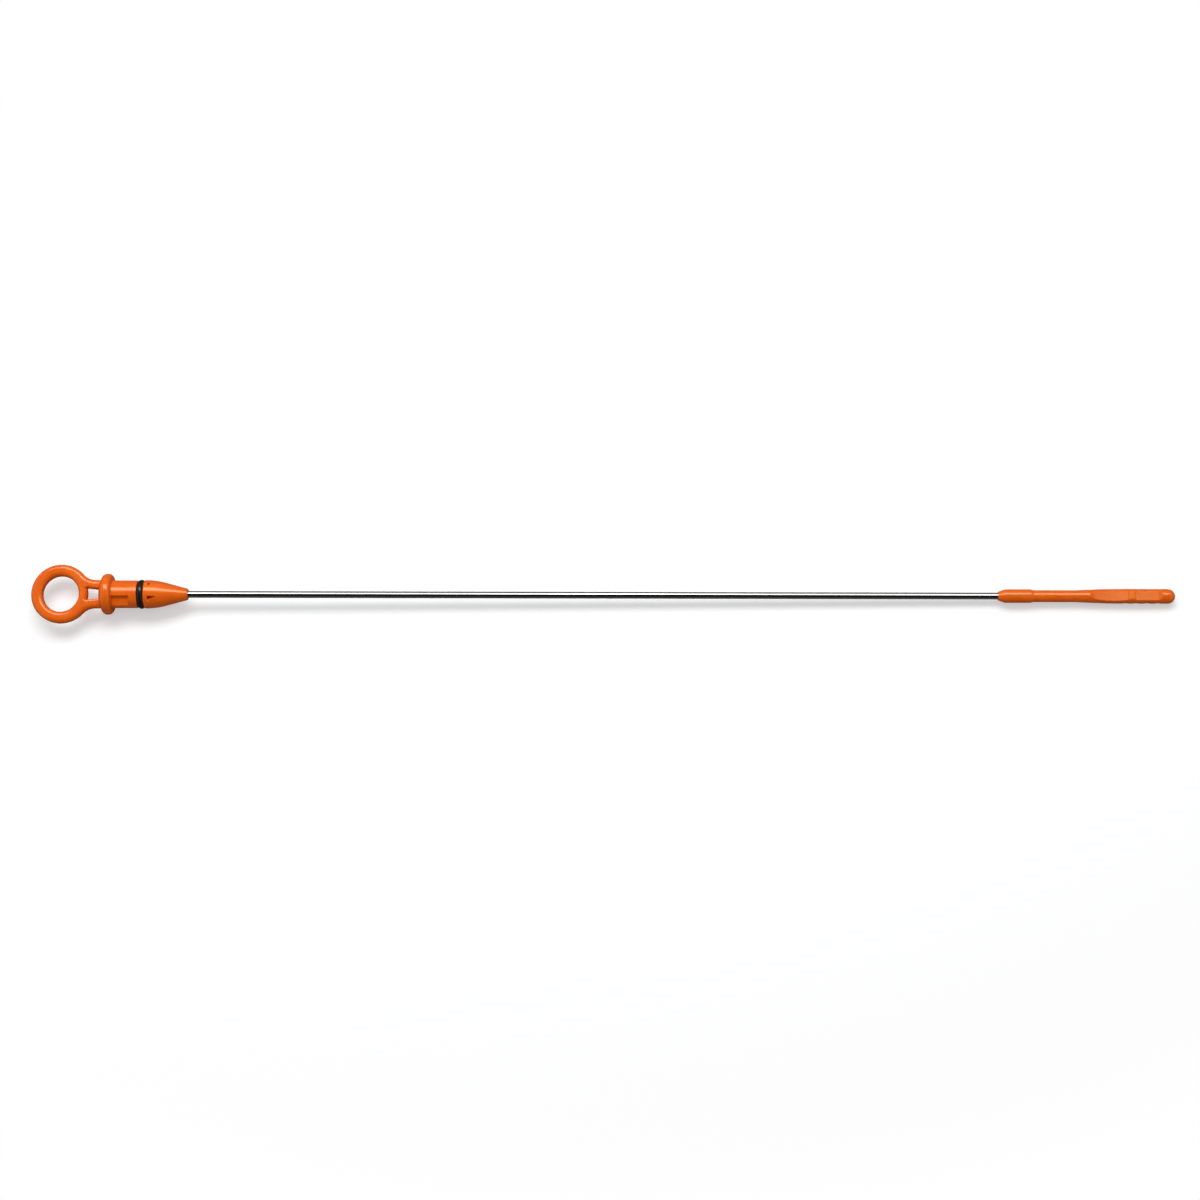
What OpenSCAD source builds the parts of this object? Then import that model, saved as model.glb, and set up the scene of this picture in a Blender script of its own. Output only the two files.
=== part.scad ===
// Engine oil dipstick: a moulded pull handle with a finger ring and a tube plug,
// a bare steel rod, and a moulded tip that carries the level marks.
// The X axis runs from the handle to the tip, and the ring lies in the XY plane.
// The origin is on the axis, at the face of the flange that seats on the tube.

/* [Finger ring] */
// Outer diameter of the ring
ring_od = 27.2; // [24:0.1:34]
// Width of the ring's limb, seen from above
limb_w = 5.3; // [4.5:0.1:5.5]
// Thickness of the ring and of the neck
ring_t = 5.4; // [5:0.1:7]
// Rounding of the ring's edges
ring_edge_r = 2.0; // [1:0.1:2.1]

/* [Neck] */
// Length of the neck, from the ring to the flange
neck_len = 4.9; // [4.5:0.05:9]
// Width across the two arms of the neck
neck_w = 13; // [12:0.1:15]
// Width of each arm at the flange
arm_w = 4.4; // [3.5:0.1:4.6]
// How much wider the window is at the ring than at the flange
window_flare = 1.5; // [0:0.1:2]
// Wall between the finger hole and the window
window_wall = 3.1; // [3.1:0.1:4]
// Corner radius of the window
window_corner_r = 0.9; // [0.4:0.1:1.5]
// Rounding of the window's edges
window_edge_r = 1.0; // [0.3:0.1:1]

/* [Flange] */
// How far the stop flange stands out round the plug
flange_lip = 3.05; // [2.5:0.05:5]
// Thickness of the stop flange
flange_t = 5.4; // [4.6:0.1:8]
// Slope of the flange's back, from the axis
flange_slope = 64; // [50:1:75]
// Rounding of the flange's rim towards the ring
rim_back_r = 2.1; // [1.5:0.1:2.4]
// Distance from the flange's back to the middle of that rounding
rim_back_run = 2.8; // [2.2:0.1:3]
// Rounding of the flange's rim towards the tube
rim_seat_r = 1.9; // [0.8:0.1:2]

/* [Plug] */
// Diameter of the plug that enters the tube
plug_d = 12.7; // [12:0.1:16]
// Distance from the seat to the seal groove
groove_x = 11.7; // [9.5:0.1:20]
// Diameter of the rubber ring's section
seal_section = 2.8; // [2:0.1:3.4]
// How far the rubber ring stands out round the plug
seal_proud = 0.35; // [0.1:0.05:0.6]
// Gap on each side of the rubber ring in its groove
seal_side_gap = 0.1; // [0.05:0.05:0.3]
// Edge rounding at the groove
groove_edge_r = 0.4; // [0.1:0.1:0.6]

/* [Nose] */
// How far the nose stands out round the plug
nose_proud = 0.15; // [0:0.05:0.4]
// Length of the nose
nose_len = 19.8; // [17:0.1:30]
// Wall round the rod at the end of the nose
nose_wall = 0.95; // [0.7:0.05:1.5]
// Length of the curved part of the nose
nose_curve = 9.0; // [6:0.5:12]

/* [Moulded pockets] */
// Length of the pocket on the plug
pocket_len = 8.1; // [4:0.1:9]
// Distance of the pocket's wall from the middle plane
pocket_wall_y = 1.6; // [1:0.1:2.5]
// Height of the pocket's floor above the axis, at its wall
pocket_floor_z = 4.8; // [4:0.1:5.5]
// Slope of the pocket's floor towards the front
pocket_slope = 25; // [0:1:30]
// Width of the slots at the start of the nose
slot_w = 0.9; // [0.8:0.1:1.6]
// Height of the slots' floor above the axis
slot_floor_z = 4.9; // [3.8:0.1:5.4]
// Length of the pointed slot
point_len = 3.9; // [2:0.1:5]

/* [Rod] */
// Diameter of the steel rod
rod_d = 3.1; // [2.6:0.1:3.4]
// Bare length of the rod, between the mouldings
rod_bare = 372.6; // [200:0.1:700]
// Length of rod held in the handle
rod_in_handle = 26; // [18:0.5:30]
// Length of rod held in the tip
rod_in_tip = 34; // [20:0.5:36]
// Depth of the anchor grooves
anchor_depth = 0.35; // [0.2:0.05:0.5]
// Width of the anchor grooves
anchor_w = 2; // [1:0.1:3]

/* [Tip] */
// Length of the whole tip
tip_len = 81.4; // [75:0.1:100]
// Diameter of the collar
collar_d = 6.2; // [5.6:0.1:8]
// Wall round the rod at the collar's end
collar_wall = 0.5; // [0.4:0.05:0.9]
// Length of the collar
collar_len = 15; // [12:0.1:20]
// Length of the collar's tapered end
collar_taper = 3.3; // [2:0.1:5]
// Length of the step from the collar to the shaft
collar_step = 1.1; // [0.5:0.1:2]
// Diameter of the tip's shaft
shaft_d = 5.44; // [5:0.02:6]
// Diameter of the blade over its rounded edges
blade_d = 6.7; // [6:0.1:8]
// Distance from the nub's end to where the shaft begins to widen
widen_from = 45.5; // [40:0.5:50]
// Length over which the shaft widens
widen_len = 21; // [10:0.5:22]

/* [Level marks] */
// Distance from the nub's end to the middle of the hollow flat
hollow_at = 29.8; // [26:0.1:34]
// Radius of the hollow flat's curve
hollow_r = 66; // [40:1:90]
// Thickness of the blade at the middle of the hollow flats
hollow_t = 4.5; // [4:0.1:5]
// Distance from the nub's end to the rib's middle
rib_at = 20.2; // [18:0.1:22]
// Width of the rib's top
rib_w = 1.4; // [0.8:0.1:2]
// Thickness over the ribs
rib_t = 6.2; // [5.6:0.1:6.6]
// Run of the rib's sides
rib_side = 1.2; // [0.6:0.1:2]
// Thickness of the blade at the straight flats
flat_t = 5.1; // [4:0.1:5.6]
// Distance from the nub's end to the end of the straight flats
flat_end = 7.9; // [6:0.1:9]
// Run of the ramp from a straight flat to the nub
ramp_len = 1.7; // [1:0.1:3]
// Distance between the scallops along the blade's edge
scallop_pitch = 5; // [4:0.1:6]
// Depth of the scallops
scallop_depth = 0.4; // [0.1:0.05:0.5]
// Width of each scallop
scallop_w = 3.4; // [1.5:0.1:4]

/* [Hidden] */
$fn = 96;

// Angle between neighbouring points of a drawn curve
STEP = 4;
// Overlap that leaves no seam where two shapes of one piece join
LAP = 0.3;
// Overrun of a cut past the face it opens on
OVER = 1;
SIDES = [-1, 1];

ring_r = ring_od / 2;
ring_back = ring_r + neck_len + flange_t;
hole_r = ring_r - limb_w;
plug_r = plug_d / 2;
nose_r = plug_r + nose_proud;
rim_r = plug_r + flange_lip;
rod_r = rod_d / 2;
seat_fillet_r = 0.2;

// The neck's hollow curves, each tangent to the ring and to an arm. The centres of
// the ring and of a curve stand 72 units apart along the axis, 65 across and 97 in a
// straight line, so the line on which the two surfaces meet has exact coordinates
unit = round(1000 * (ring_r - neck_w / 2) / 32) / 1000;
neck_blend_r = 97 * unit - ring_r;
blend_y = 65 * unit;
blend_x = 72 * unit - ring_back;
blend_angle = atan(65 / 72);
neck_y = blend_y - neck_blend_r;

// Groove and seal
groove_w = seal_section + 2 * seal_side_gap;
seal_mid_r = plug_r + seal_proud - seal_section / 2;
seal_floor_gap = 0.03;
groove_floor_r = seal_mid_r - seal_section / 2 - seal_floor_gap;
nose_x = groove_x + groove_w;
nose_end_x = nose_x + nose_len;
nose_start = 2 * groove_edge_r;
nose_drop = nose_r - rod_r - nose_wall;
nose_cone = nose_len - nose_start - nose_curve;

// Half the slope of the nose's straight part, as a tangent, worked out in turns so
// that the part runs on smoothly from the curved one and ends at the nose's wall
function half_slope(guess, turns) =
    turns == 0 ? guess
    : half_slope(nose_drop / (nose_curve + 2 * nose_cone / (1 - guess * guess)), turns - 1);
nose_slope = 2 * atan(half_slope(0.1, 12));

// Ends of the rod and of the tip
tip_x = nose_end_x + rod_bare;
tip_end_x = tip_x + tip_len;
rod_start_x = nose_end_x - rod_in_handle;
rod_end_x = tip_x + rod_in_tip;
anchor_inset = 4;
rod_chamfer = 0.3;

blade_r = blade_d / 2;
shaft_r = shaft_d / 2;
collar_r = collar_d / 2;

// Points along an arc, with its first and last ones
function arc(centre, r, from, to, step = STEP) =
    let (n = max(2, ceil(abs(to - from) / step)))
    [for (i = [0:n]) let (a = from + (to - from) * i / n) centre + r * [cos(a), sin(a)]];

// Turns 2D children, drawn as [distance along the axis, radius], about the X axis
module turned() {
    rotate([0, 90, 0])
        rotate_extrude()
            mirror([1, 0])
                rotate(90)
                    children();
}

// Section of a moulded edge: rounded on its outer side, square on its inner side
module edge_section(depth) {
    core = ring_t - 2 * ring_edge_r;
    translate([0, -core / 2])
        square([depth, core]);
    translate([ring_edge_r, -ring_t / 2])
        square([depth - ring_edge_r, ring_t]);
    for (side = SIDES)
        translate([ring_edge_r, side * core / 2])
            circle(r = ring_edge_r);
}

// Outer half of the ring's limb, open between the two lines where the neck begins
module ring_outer_half() {
    difference() {
        translate([-ring_back, 0, 0])
            rotate_extrude()
                translate([ring_r, 0])
                    mirror([1, 0])
                        edge_section(limb_w / 2 + LAP);
        linear_extrude(height = 2 * ring_t, center = true)
            polygon([[-ring_back, 0], [blend_x, blend_y], [blend_x, -blend_y]]);
    }
}

// Inner half of the ring's limb, round the finger hole
module ring_inner_half() {
    translate([-ring_back, 0, 0])
        rotate_extrude()
            translate([hole_r, 0])
                edge_section(limb_w / 2 + LAP);
}

// Rounded hollow curve from the ring to one arm
module neck_curve() {
    intersection() {
        translate([blend_x, blend_y, 0])
            rotate_extrude()
                translate([neck_blend_r, 0])
                    edge_section(limb_w / 2 + LAP);
        linear_extrude(height = 2 * ring_t, center = true)
            polygon([[-ring_back, 0], [blend_x, blend_y], [blend_x, 0]]);
    }
}

// Rounded outer edge of one arm
module arm_edge() {
    translate([blend_x, 0, 0])
        rotate([90, 0, 90])
            linear_extrude(height = -flange_t / 2 - blend_x)
                translate([neck_y, 0])
                    mirror([1, 0])
                        edge_section(limb_w / 2 + LAP);
}

// Flat middle of the neck, from the ring's limb to the flange
module neck_web() {
    sink = 0.15;
    inset = limb_w / 2 - sink;
    reach = blend_angle + 1;
    linear_extrude(height = ring_t, center = true)
        difference() {
            polygon([
                [-ring_back, 0],
                [-ring_back, 0] + ring_r * [cos(reach), sin(reach)],
                [blend_x, ring_r * sin(reach)],
                [blend_x, neck_y - inset],
                [-flange_t / 2, neck_y - inset],
                [-flange_t / 2, inset - neck_y],
                [blend_x, inset - neck_y],
                [blend_x, -ring_r * sin(reach)],
                [-ring_back, 0] + ring_r * [cos(reach), -sin(reach)]
            ]);
            translate([-ring_back, 0])
                circle(r = hole_r + limb_w / 2 - sink);
            for (side = SIDES)
                translate([blend_x, side * blend_y])
                    circle(r = neck_blend_r + inset);
        }
}

// Outline of the window, narrower at the flange, grown by a margin all round
module window_outline(grow) {
    corner_step = 30;
    left = -ring_back + hole_r + window_wall;
    right = -flange_t + LAP;
    half_right = neck_y - arm_w;
    half_left = half_right + window_flare / 2;
    r = window_corner_r;
    polygon(concat(
        arc([left + r, half_left - r], r + grow, 180, 90, corner_step),
        [[right, half_right + grow], [right, -half_right - grow]],
        arc([left + r, r - half_left], r + grow, 270, 180, corner_step)
    ));
}

// The window, with its edges eased in steps on both faces of the neck
module window() {
    thin = 0.01;
    turn = 30;
    linear_extrude(height = ring_t + 2 * OVER, center = true)
        window_outline(0);
    for (side = [0, 1])
        mirror([0, 0, side])
            for (a = [0:turn:90 - turn])
                hull()
                    for (b = [a, a + turn])
                        translate([0, 0, ring_t / 2 - window_edge_r * (1 - sin(b))])
                            linear_extrude(height = thin)
                                window_outline(window_edge_r * (1 - cos(b)));
}

module grip() {
    ring_inner_half();
    difference() {
        union() {
            ring_outer_half();
            for (side = [0, 1])
                mirror([0, side, 0]) {
                    neck_curve();
                    arm_edge();
                }
            neck_web();
        }
        window();
    }
}

// Flange, plug, seal groove and nose in one section
module spindle_section() {
    back_mid = [-flange_t + rim_back_run, rim_r - rim_back_r];
    seat_mid = [-rim_seat_r, rim_r - rim_seat_r];
    touch = back_mid + rim_back_r * [-sin(flange_slope), cos(flange_slope)];
    back_r = touch[1] - (touch[0] + flange_t) * tan(flange_slope);
    curve_r = nose_curve / sin(nose_slope);
    curve_x = nose_x + nose_start;
    end_r = rod_r + nose_wall;
    end_round = 0.5;
    polygon(concat(
        [[-flange_t, 0], [-flange_t, back_r]],
        arc(back_mid, rim_back_r, 90 + flange_slope, 90, 5),
        arc(seat_mid, rim_seat_r, 90, 0, 5),
        arc([seat_fillet_r, plug_r + seat_fillet_r], seat_fillet_r, 180, 270, 15),
        arc([groove_x - groove_edge_r, plug_r - groove_edge_r], groove_edge_r, 90, 0, 15),
        [[groove_x, groove_floor_r], [nose_x, groove_floor_r]],
        arc([nose_x + groove_edge_r, nose_r - groove_edge_r], groove_edge_r, 180, 90, 15),
        arc([curve_x, nose_r - curve_r], curve_r, 90, 90 - nose_slope, 2),
        arc([nose_end_x - end_round, end_r - end_round * 0.6], end_round, 90 - nose_slope, 0, 15),
        [[nose_end_x, 0]]
    ));
}

// Pocket on the plug, up to the flange: its floor slopes down to the plug's front
module plug_pocket() {
    start_x = seat_fillet_r + 0.1;
    reach = plug_r - pocket_wall_y;
    translate([start_x, -pocket_wall_y, pocket_floor_z])
        rotate([90, 0, 90])
            linear_extrude(height = pocket_len - start_x)
                polygon([[0, 0], [0, plug_r], [-reach, plug_r], [-reach, -reach * tan(pocket_slope)]]);
}

// Slots at the start of the nose: a pointed and a shallow one in front, a square one behind
module nose_slots() {
    x = nose_x + 2;
    deep_z = rod_r + 0.4;
    point_y = pocket_wall_y + 1.7;
    translate([0, 0, deep_z])
        linear_extrude(height = nose_r)
            polygon([
                [x, -pocket_wall_y],
                [x + point_len, -pocket_wall_y - 0.3],
                [x, -point_y]
            ]);
    translate([x, -nose_r - OVER, slot_floor_z])
        cube([slot_w, nose_r + OVER - pocket_wall_y - 0.2, nose_r]);
    translate([x, 3.3, 3.4])
        cube([slot_w, 1.3, nose_r]);
}

// The rod, which also shapes the sockets in both mouldings
module rod_shape() {
    neck_r = rod_r - anchor_depth;
    grooves = [rod_start_x + anchor_inset, rod_end_x - anchor_inset - anchor_w];
    turned()
        polygon(concat(
            [[rod_start_x, 0], [rod_start_x, rod_r - rod_chamfer], [rod_start_x + rod_chamfer, rod_r]],
            [for (x = grooves, p = [[0, rod_r], [0, neck_r], [anchor_w, neck_r], [anchor_w, rod_r]]) p + [x, 0]],
            [[rod_end_x - rod_chamfer, rod_r], [rod_end_x, rod_r - rod_chamfer], [rod_end_x, 0]]
        ));
}

module handle() {
    color("darkorange")
        difference() {
            union() {
                grip();
                turned()
                    spindle_section();
            }
            plug_pocket();
            nose_slots();
            rod_shape();
        }
}

module o_ring() {
    color("black")
        translate([groove_x + groove_w / 2, 0, 0])
            turned()
                translate([0, seal_mid_r])
                    circle(r = seal_section / 2);
}

module rod() {
    color("silver")
        rod_shape();
}

// Section of the tip, from the collar to the round end of the nub
module tip_section() {
    collar_end_x = tip_x + collar_len;
    widen_x = tip_end_x - widen_from;
    nub_x = tip_end_x - blade_r;
    polygon(concat(
        [[tip_x, 0]],
        arc([tip_x + 0.3, rod_r + collar_wall - 0.3], 0.3, 180, 110, 20),
        [[tip_x + collar_taper - 0.4, collar_r - 0.12]],
        [[tip_x + collar_taper + 0.4, collar_r]],
        [[collar_end_x, collar_r]],
        [[collar_end_x + collar_step, shaft_r]],
        [for (i = [0:12]) [widen_x + widen_len * i / 12, shaft_r + (blade_r - shaft_r) * sin(90 * i / 12)]],
        arc([nub_x, 0], blade_r, 90, 0, 5)
    ));
}

// What is cut away above the blade: hollow flat, rib, straight flat and ramp
module marks_section() {
    top = blade_r + OVER;
    rib_x = tip_end_x - rib_at;
    rib_start = rib_x - rib_w / 2;
    rib_end = rib_x + rib_w / 2;
    hollow_x = tip_end_x - hollow_at;
    hollow_half = rib_start - rib_side - hollow_x;
    side_z = hollow_t / 2 + hollow_r - sqrt(pow(hollow_r, 2) - pow(hollow_half, 2));
    flat_x = tip_end_x - flat_end;
    intersection() {
        translate([hollow_x, hollow_t / 2 + hollow_r])
            circle(r = hollow_r, $fn = 360);
        translate([tip_end_x - widen_from, 0])
            square([widen_from - rib_at - rib_w / 2 - rib_side, top]);
    }
    polygon([
        [rib_start - rib_side - LAP, top],
        [rib_start - rib_side - LAP, side_z + LAP],
        [rib_start - rib_side, side_z],
        [rib_start, rib_t / 2],
        [rib_end, rib_t / 2],
        [rib_end + rib_side, flat_t / 2],
        [flat_x, flat_t / 2],
        [flat_x + ramp_len, blade_r],
        [flat_x + ramp_len, top]
    ]);
}

// Shallow hollows along the blade's front edge
module scallops() {
    r = (pow(scallop_w / 2, 2) + pow(scallop_depth, 2)) / (2 * scallop_depth);
    first_x = tip_end_x - flat_end + 0.3;
    for (i = [0:3])
        translate([first_x - i * scallop_pitch, -blade_r + scallop_depth - r, -blade_r])
            cylinder(r = r, h = blade_d);
}

module tip() {
    color("darkorange")
        difference() {
            turned()
                tip_section();
            for (side = [0, 1])
                mirror([0, 0, side])
                    translate([0, blade_r, 0])
                        rotate([90, 0, 0])
                            linear_extrude(height = blade_d)
                                marks_section();
            scallops();
            rod_shape();
        }
}

handle();
o_ring();
rod();
tip();
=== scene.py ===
"""Engine oil dipstick: its finish, the table it lies on, the studio light and the camera.

Everything is in metres, in the frame of the part: X along the rod from the handle to the
tip, Z square to the finger ring, the origin on the axis at the flange's seat face.
"""

import math

import bmesh
import bpy
from mathutils import Matrix, Vector


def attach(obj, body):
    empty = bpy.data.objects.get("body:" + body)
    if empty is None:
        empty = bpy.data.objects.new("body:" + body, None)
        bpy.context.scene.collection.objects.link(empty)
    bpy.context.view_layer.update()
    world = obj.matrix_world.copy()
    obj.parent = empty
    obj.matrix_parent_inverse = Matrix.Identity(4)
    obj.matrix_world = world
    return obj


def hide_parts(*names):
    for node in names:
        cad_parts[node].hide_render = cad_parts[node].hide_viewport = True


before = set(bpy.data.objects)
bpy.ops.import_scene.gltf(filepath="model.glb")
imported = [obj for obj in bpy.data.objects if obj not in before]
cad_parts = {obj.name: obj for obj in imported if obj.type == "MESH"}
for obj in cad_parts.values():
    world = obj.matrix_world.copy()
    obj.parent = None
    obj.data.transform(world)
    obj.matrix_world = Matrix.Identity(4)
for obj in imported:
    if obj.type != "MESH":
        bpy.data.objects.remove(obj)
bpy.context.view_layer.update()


# The handle is one injection moulding in orange nylon: the finger ring, the neck with its
# window, the stop flange, the plug and the nose. It has a satin gloss, a fine moulded
# grain and a faint parting line where the two halves of the mould met.
MM = 0.001
ORANGE = (0.83, 0.124, 0.002)
ORANGE_DEEP = (0.8, 0.114, 0.001)
ORANGE_PALE = (0.85, 0.135, 0.003)
NYLON_ROUGHNESS = 0.19
NYLON_GLOSS = 0.6
NYLON_GLOSS_TINT = (0.95, 0.9, 0.6, 1)
NYLON_DEPTH_MM = 0.02
GRAIN_MM = 0.22
FLOW_MM = 5.0
PARTING_TOP = 0.04 * MM
PARTING_FOOT = 0.11 * MM

# The numbers of a Mix node's sockets for colours.
MIX_FACTOR = 0
MIX_FIRST = 6
MIX_SECOND = 7
MIX_COLOUR = 2


class Tone:
    """A socket that can be used as a number in a sum."""

    def __init__(self, tree, socket):
        self.tree = tree
        self.socket = socket

    def node(self, kind, settings=None, sockets=None, output=0):
        """Adds a node with its settings and the values or links of its sockets."""
        made = self.tree.nodes.new(kind)
        for name, value in (settings or {}).items():
            setattr(made, name, value)
        for name, value in (sockets or {}).items():
            if isinstance(value, Tone):
                self.tree.links.new(value.socket, made.inputs[name])
            else:
                made.inputs[name].default_value = value
        return Tone(self.tree, made.outputs[output])

    def maths(self, operation, *values):
        """Adds a Math node on numbers or tones."""
        return self.node(
            "ShaderNodeMath", {"operation": operation}, dict(enumerate(values))
        )

    def __add__(self, other):
        return self.maths("ADD", self, other)

    def __radd__(self, other):
        return self.maths("ADD", other, self)

    def __sub__(self, other):
        return self.maths("SUBTRACT", self, other)

    def __rsub__(self, other):
        return self.maths("SUBTRACT", other, self)

    def __mul__(self, other):
        return self.maths("MULTIPLY", self, other)

    def __rmul__(self, other):
        return self.maths("MULTIPLY", other, self)

    def __abs__(self):
        return self.maths("ABSOLUTE", self)

    def between(self, low, high):
        """0 at or below low, 1 at or above high, and smooth between them."""
        return self.node(
            "ShaderNodeMapRange",
            {"interpolation_type": "SMOOTHSTEP"},
            {"Value": self, "From Min": low, "From Max": high},
        )

    def past(self, edge, soft):
        """0 before an edge and 1 past it, over soft on each side of it."""
        return self.between(edge - soft, edge + soft)

    def within(self, full, none):
        """1 up to full from zero, 0 beyond none from it, and smooth between them."""
        return 1 - abs(self).between(full, none)

    def part(self, letter):
        """The X, Y or Z of a vector."""
        return self.node("ShaderNodeSeparateXYZ", None, {"Vector": self}, letter)

    def ray(self, kind):
        """1 for one kind of ray, such as Is Camera Ray, and 0 for all others."""
        return self.node("ShaderNodeLightPath", None, None, kind)


def new_finish(name):
    """A material with only its main shader; gives the material, shader and coordinates."""
    made = bpy.data.materials.new(name)
    made.use_nodes = True
    tree = made.node_tree
    place = Tone(tree, tree.nodes.new("ShaderNodeTexCoord").outputs["Object"])
    return made, tree.nodes["Principled BSDF"], place


def feed(shader, name, tone):
    """Links a tone to one of the shader's sockets."""
    tone.tree.links.new(tone.socket, shader.inputs[name])


def fix(shader, name, value):
    """Sets one of the shader's sockets to the same value all over."""
    shader.inputs[name].default_value = value


def noise(place, size_mm, detail, stretch=(1, 1, 1)):
    """Grain with lumps of about size_mm, stretched along the axes."""
    mapped = place.node(
        "ShaderNodeMapping",
        {"vector_type": "POINT"},
        {"Vector": place, "Scale": tuple(1 / s for s in stretch)},
    )
    return place.node(
        "ShaderNodeTexNoise",
        None,
        {"Vector": mapped, "Scale": 1 / (size_mm * MM), "Detail": detail},
    )


def blend_colours(factor, first, second):
    """A colour between two, by a factor from 0 to 1."""
    sockets = {MIX_FACTOR: factor}
    for number, colour in ((MIX_FIRST, first), (MIX_SECOND, second)):
        sockets[number] = colour if isinstance(colour, Tone) else (*colour, 1)
    return factor.node("ShaderNodeMix", {"data_type": "RGBA"}, sockets, MIX_COLOUR)


def bumped(height, depth_mm):
    """A normal from a height that runs from 0 to 1 over depth_mm."""
    return height.node(
        "ShaderNodeBump", None, {"Height": height, "Distance": depth_mm * MM, "Strength": 1.0}
    )


def nylon_tones(place):
    """The colour, roughness and height of the nylon, parted along the plane of the ring."""
    grain = noise(place, GRAIN_MM, 3.0)
    flow = noise(place, FLOW_MM, 2.0)
    parting = place.part("Z").within(PARTING_TOP, PARTING_FOOT)
    colour = blend_colours(flow.between(0.3, 0.7), ORANGE_DEEP, ORANGE_PALE)
    colour = blend_colours(grain.between(0.42, 0.75) * 0.35, colour, ORANGE)
    roughness = NYLON_ROUGHNESS + flow * 0.02 + grain * 0.05
    return colour, roughness, grain * 0.25 + parting


def finish_nylon(shader, colour, roughness, height):
    """Feeds the nylon's tones to a shader and gives it the nylon's gloss."""
    feed(shader, "Base Color", colour)
    feed(shader, "Roughness", roughness)
    feed(shader, "Normal", bumped(height, NYLON_DEPTH_MM))
    fix(shader, "Specular IOR Level", NYLON_GLOSS)
    fix(shader, "Specular Tint", NYLON_GLOSS_TINT)


def wear(piece, made):
    """Gives a piece one finish all over."""
    piece.data.materials.clear()
    piece.data.materials.append(made)


handle_finish, handle_shader, handle_place = new_finish("orange_nylon_handle")
finish_nylon(handle_shader, *nylon_tones(handle_place))
wear(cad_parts["handle"], handle_finish)


# The seal is a moulded ring of black nitrile rubber in the plug's groove. It is smooth,
# with a soft oily sheen.
SEAL_BLACK = (0.003, 0.003, 0.003)
SEAL_RUBBED = (0.007, 0.007, 0.007)

seal_finish, seal_shader, seal_place = new_finish("black_nitrile")
seal_grain = noise(seal_place, 0.3, 3.0)
feed(seal_shader, "Base Color", blend_colours(seal_grain, SEAL_BLACK, SEAL_RUBBED))
feed(seal_shader, "Roughness", 0.22 + seal_grain * 0.08)
feed(seal_shader, "Normal", bumped(seal_grain, 0.008))
fix(seal_shader, "Specular IOR Level", 0.45)
wear(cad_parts["o_ring"], seal_finish)


# The rod is one length of bright drawn steel wire. Each end runs on inside its moulding,
# where an anchor groove holds it. Drawing leaves fine lines along it.
ROD_R = 1.55
ROD_FROM = 8.5
ROD_TO = 441.1
END_CHAMFER = 0.3
ANCHOR_R = 1.2
HANDLE_ANCHOR = (12.5, 14.5)
TIP_ANCHOR = (435.1, 437.1)
STEEL_DULL = (0.44, 0.44, 0.43)
STEEL_BRIGHT = (0.54, 0.53, 0.52)

rod_outline = [
    (ROD_FROM, 0),
    (ROD_FROM, ROD_R - END_CHAMFER),
    (ROD_FROM + END_CHAMFER, ROD_R),
]
for start, end in (HANDLE_ANCHOR, TIP_ANCHOR):
    rod_outline += [(start, ROD_R), (start, ANCHOR_R), (end, ANCHOR_R), (end, ROD_R)]
rod_outline += [
    (ROD_TO - END_CHAMFER, ROD_R),
    (ROD_TO, ROD_R - END_CHAMFER),
    (ROD_TO, 0),
]
rod_mesh = bmesh.new()
profile = [rod_mesh.verts.new((x * MM, 0, r * MM)) for x, r in rod_outline]
edges = [rod_mesh.edges.new(pair) for pair in zip(profile, profile[1:])]
bmesh.ops.spin(
    rod_mesh,
    geom=profile + edges,
    axis=(1, 0, 0),
    cent=(0, 0, 0),
    steps=64,
    angle=2 * math.pi,
    use_merge=True,
)
bmesh.ops.remove_doubles(rod_mesh, verts=rod_mesh.verts, dist=1e-6)
bmesh.ops.recalc_face_normals(rod_mesh, faces=rod_mesh.faces)
rod_data = bpy.data.meshes.new("steel_rod")
rod_mesh.to_mesh(rod_data)
rod_mesh.free()
rod_piece = bpy.data.objects.new("steel_rod", rod_data)
bpy.context.scene.collection.objects.link(rod_piece)
rod_data.shade_smooth()
rod_data.set_sharp_from_angle(angle=math.radians(35))

steel_finish, steel_shader, steel_place = new_finish("drawn_steel")
drawn_lines = noise(steel_place, 0.12, 2.0, (60, 1, 1))
dull = noise(steel_place, 9.0, 3.0)
feed(steel_shader, "Base Color", blend_colours(dull, STEEL_DULL, STEEL_BRIGHT))
feed(steel_shader, "Roughness", 0.05 + drawn_lines * 0.05 + dull * 0.02)
feed(steel_shader, "Normal", bumped(drawn_lines, 0.002))
fix(steel_shader, "Metallic", 1.0)
wear(rod_piece, steel_finish)
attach(rod_piece, "root")
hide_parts("rod")


# The tip is a second moulding in the same orange nylon: a collar, a round shaft and the
# blade. The two flats that are read have a stippled face, so that oil clings to them, with
# two score lines. The stippled faces are speckled paler: the speckle follows the stipple,
# and the paleness is a painted sheen. The rib's crest between them is a painted highlight.
HOLLOW_AT = 458.7 * MM
HOLLOW_Z = 2.25 * MM
HOLLOW_R = 66 * MM
HOLLOW_TO = 466.35 * MM
FLAT_Z = 2.55 * MM
FLAT_FROM = 470.25 * MM
FLAT_TO = 480.45 * MM
FLAT_EDGE = 0.15 * MM
FACE_FULL = 0.03 * MM
FACE_NONE = 0.07 * MM
STIPPLE_NONE_TO = 449 * MM
STIPPLE_FULL_FROM = 453 * MM
STIPPLE_MM = 0.3
FIRST_SCORE = 471.5 * MM
SECOND_SCORE = 472.6 * MM
SCORE_FLOOR = 0.08 * MM
SCORE_BRINK = 0.24 * MM
RIB_FROM = 467 * MM
RIB_TO = 469.6 * MM
RIB_EDGE = 0.2 * MM
RIB_HIGHLIGHT_Z = 2.75 * MM
RIB_HIGHLIGHT_SOFT = 0.15 * MM
# A paler orange, painted as a sheen on the stippled faces and as a highlight on the rib's
# crest.
NYLON_PAINTED_SHEEN = (0.95, 0.22, 0.022)

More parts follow.
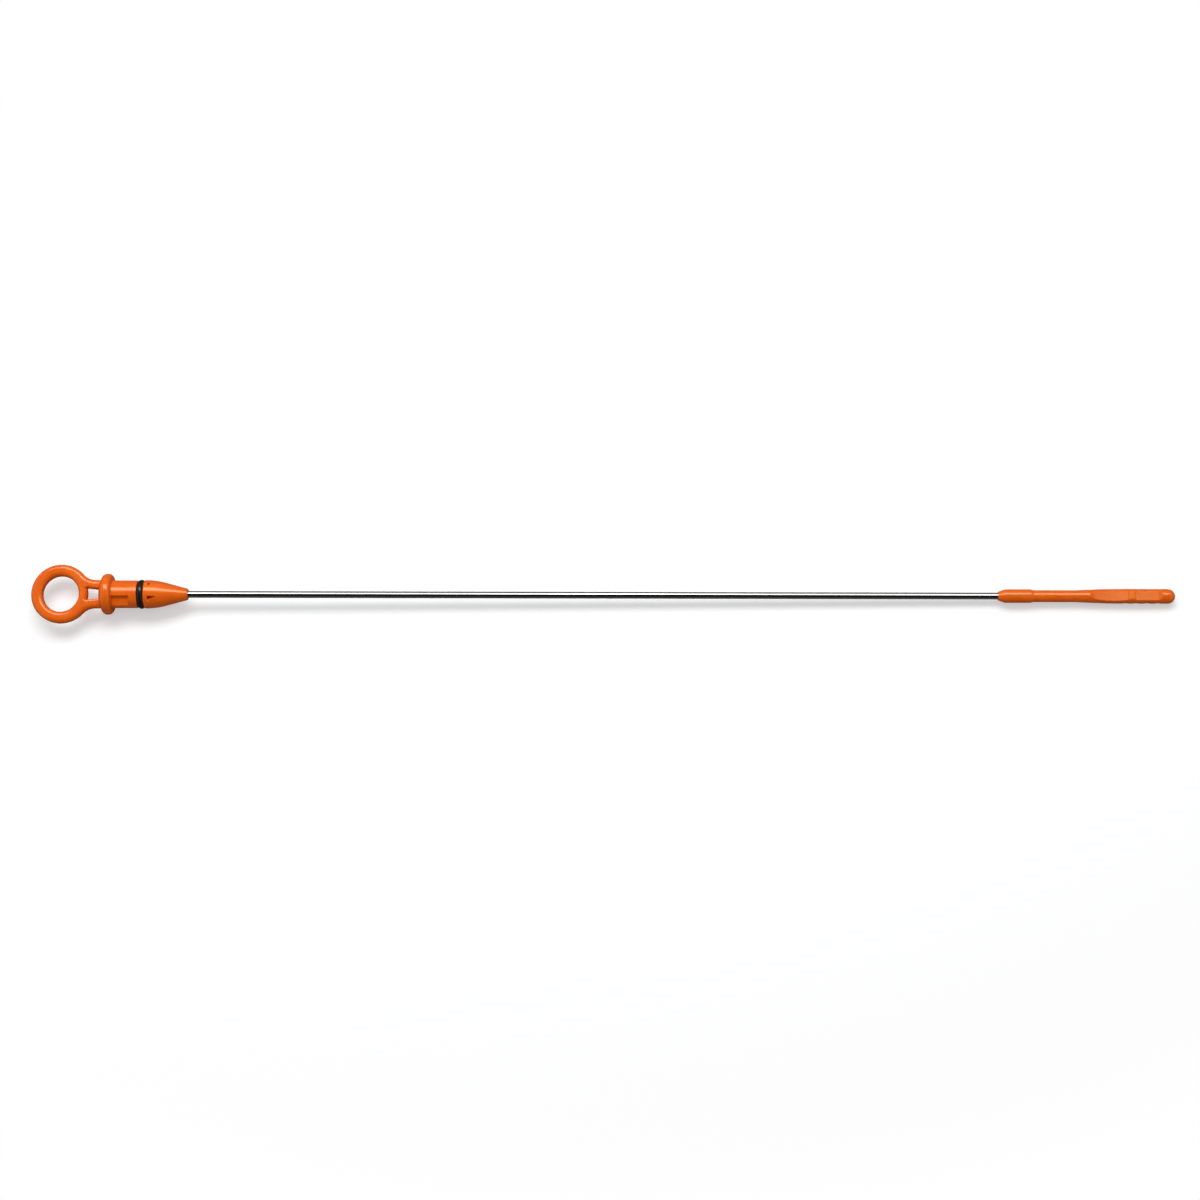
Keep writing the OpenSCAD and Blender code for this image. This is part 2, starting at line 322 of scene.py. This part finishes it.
tip_finish, tip_shader, tip_place = new_finish("orange_nylon_tip")
tip_colour, tip_roughness, tip_height = nylon_tones(tip_place)
tip_x = tip_place.part("X")
off_middle_plane = abs(tip_place.part("Z"))
from_hollow = tip_x - HOLLOW_AT
hollow_z = HOLLOW_Z + from_hollow * from_hollow * (0.5 / HOLLOW_R)
on_hollow = (off_middle_plane - hollow_z).within(FACE_FULL, FACE_NONE)
on_hollow = on_hollow * (1 - tip_x.past(HOLLOW_TO, FLAT_EDGE))
on_flat = (off_middle_plane - FLAT_Z).within(FACE_FULL, FACE_NONE)
on_flat = on_flat * tip_x.past(FLAT_FROM, FLAT_EDGE) * (1 - tip_x.past(FLAT_TO, FLAT_EDGE))
stippled = (on_hollow + on_flat) * tip_x.between(STIPPLE_NONE_TO, STIPPLE_FULL_FROM)
stipple = noise(tip_place, STIPPLE_MM, 1.0).between(0.38, 0.62)
first_score = (tip_x - FIRST_SCORE).within(SCORE_FLOOR, SCORE_BRINK)
second_score = (tip_x - SECOND_SCORE).within(SCORE_FLOOR, SCORE_BRINK)
# The rib's crest is painted paler than the nylon, a painted highlight.
rib_painted_highlight = tip_x.past(RIB_FROM, RIB_EDGE) * (1 - tip_x.past(RIB_TO, RIB_EDGE))
rib_painted_highlight = rib_painted_highlight * off_middle_plane.past(RIB_HIGHLIGHT_Z, RIB_HIGHLIGHT_SOFT)
# Paler orange is painted on the stipple's speckle, a painted sheen, and on the rib's crest, a
# painted highlight.
painted_sheen = stippled * stipple * 0.5 + rib_painted_highlight * 0.6
marks = (stipple - (first_score + second_score) * 1.5) * stippled
finish_nylon(
    tip_shader,
    blend_colours(painted_sheen, tip_colour, NYLON_PAINTED_SHEEN),
    tip_roughness + stippled * 0.12,
    tip_height + marks * 2,
)
wear(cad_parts["tip"], tip_finish)


# The floor is a white table top. The dipstick lies on it on the flange's rim and on the
# round nub of the tip. The camera sees it fade to plain white away from the dipstick, and
# shiny surfaces see it dark.
FLANGE_REST = Vector((-2.1 * MM, 0, -9.4 * MM))
NUB_REST = Vector((485.15 * MM, 0, -3.35 * MM))
FLOOR_HALF = 3.0
MIDDLE_X = 0.224
FADE_HALF_LENGTH = 0.5
FADE_HALF_WIDTH = 0.3
FLOOR_SEEN = (0.655, 0.66, 0.66)
FLOOR_GLOW = 0.42
FLOOR_AROUND = (0.45, 0.45, 0.45)
FLOOR_MIRRORED = (0.13, 0.13, 0.13)
BLACK = (0, 0, 0)

lie = NUB_REST - FLANGE_REST
floor_slope = math.atan2(lie.z, lie.x)
floor_mesh = bmesh.new()
bmesh.ops.create_grid(floor_mesh, x_segments=1, y_segments=1, size=FLOOR_HALF)
bmesh.ops.rotate(
    floor_mesh,
    verts=floor_mesh.verts,
    cent=(0, 0, 0),
    matrix=Matrix.Rotation(-floor_slope, 3, "Y"),
)
bmesh.ops.translate(floor_mesh, verts=floor_mesh.verts, vec=FLANGE_REST)
floor_data = bpy.data.meshes.new("table_top")
floor_mesh.to_mesh(floor_data)
floor_mesh.free()
floor = bpy.data.objects.new("table_top", floor_data)
bpy.context.scene.collection.objects.link(floor)

floor_finish, floor_shader, floor_place = new_finish("white_table")
by_camera = floor_place.ray("Is Camera Ray")
by_gloss = floor_place.ray("Is Glossy Ray")
along_rod = (floor_place.part("X") - MIDDLE_X) * (1 / FADE_HALF_LENGTH)
across_rod = floor_place.part("Y") * (1 / FADE_HALF_WIDTH)
far = (along_rod * along_rod + across_rod * across_rod).between(0.3, 1.0)
floor_unseen = blend_colours(by_gloss, FLOOR_AROUND, FLOOR_MIRRORED)
floor_seen = blend_colours(far, FLOOR_SEEN, BLACK)
feed(floor_shader, "Base Color", blend_colours(by_camera, floor_unseen, floor_seen))
feed(floor_shader, "Emission Color", by_camera * (FLOOR_GLOW + far * (1 - FLOOR_GLOW)))
fix(floor_shader, "Emission Strength", 1)
fix(floor_shader, "Roughness", 0.9)
fix(floor_shader, "Specular IOR Level", 0.0)
floor.data.materials.append(floor_finish)


# The light is a studio's soft panels: a key behind and above for the shading, another near
# it that shows only in the gloss, and a weak one overhead. The room fills in all round. In
# the gloss it is dark, with a pale strip at the back, a faint one in front and pale ends.
GLOSS_DARK = 0.02
GLOSS_BACK = 0.5
GLOSS_FRONT = 0.06
GLOSS_ENDS = 0.7
FILL_AROUND = 0.3
FILL_BACK = 0.14


def soft_panel(name, away, wide, deep, watts):
    """A soft lamp that shines on the middle of the rod from a place in metres."""
    data = bpy.data.lights.new(name, "AREA")
    data.shape = "RECTANGLE"
    data.size = wide
    data.size_y = deep
    data.energy = watts
    lamp = bpy.data.objects.new(name, data)
    lamp.location = Vector((MIDDLE_X, 0, 0)) + Vector(away)
    lamp.rotation_euler = (-Vector(away)).to_track_quat("-Z", "Y").to_euler()
    bpy.context.scene.collection.objects.link(lamp)
    return lamp


key = soft_panel("key_panel", (-0.15, 0.67, 1.12), 1.1, 0.45, 13)
key.visible_glossy = False
glint = soft_panel("glint_panel", (0, 0.75, 1.06), 1.5, 0.56, 18.5)
glint.visible_diffuse = False
overhead = soft_panel("overhead_panel", (0, 0.1, 1.6), 1.2, 1.2, 2.5)
overhead.visible_glossy = False

world = bpy.data.worlds.new("white_room")
world.use_nodes = True
bpy.context.scene.world = world
room = world.node_tree
backdrop = room.nodes["Background"]
direction = Tone(room, room.nodes.new("ShaderNodeTexCoord").outputs["Generated"])
back = direction.part("Y")
ends = abs(direction.part("X"))
is_camera = direction.ray("Is Camera Ray")
is_glossy = direction.ray("Is Glossy Ray")
is_other = 1 - is_camera - is_glossy
in_gloss = GLOSS_DARK + back.between(0.8, 0.98) * GLOSS_BACK
in_gloss = in_gloss + (-1 * back).between(0.8, 1.0) * GLOSS_FRONT
in_gloss = in_gloss + ends.between(0.45, 0.8) * GLOSS_ENDS
fill = FILL_AROUND + back.between(0.0, 0.9) * FILL_BACK
feed(backdrop, "Strength", is_camera + is_glossy * in_gloss + is_other * fill)
fix(backdrop, "Color", (1, 1, 1, 1))

bpy.context.scene.view_settings.view_transform = "Standard"


# The camera stands above the dipstick and a little in front of it, with a long lens, so
# the ring, the flange and the blade are seen almost square from above. Its distance gives
# the photograph's scale at the axis, and the flange's seat falls SEAT_PX from the left.
PICTURE_PX = 1200
MM_PER_PX = 0.46
SEAT_PX = 113
AXIS_ABOVE_MIDDLE_PX = 4.8
LENS = 65
SENSOR = 36
CAMERA_TILT = math.radians(9.5)
CAMERA_ROLL = math.radians(0.12)

pixel = MM_PER_PX * MM
aim = Vector(((PICTURE_PX / 2 - SEAT_PX) * pixel, -AXIS_ABOVE_MIDDLE_PX * pixel, 0))
camera_distance = pixel * PICTURE_PX * LENS / SENSOR
camera_turn = Matrix.Rotation(CAMERA_TILT, 4, "X") @ Matrix.Rotation(CAMERA_ROLL, 4, "Z")
camera_data = bpy.data.cameras.new("photo_camera")
camera_data.lens = LENS
camera_data.sensor_width = SENSOR
camera_data.clip_start = 0.01
camera = bpy.data.objects.new("photo_camera", camera_data)
camera.matrix_world = (
    Matrix.Translation(aim) @ camera_turn @ Matrix.Translation((0, 0, camera_distance))
)
bpy.context.scene.collection.objects.link(camera)
bpy.context.scene.camera = camera
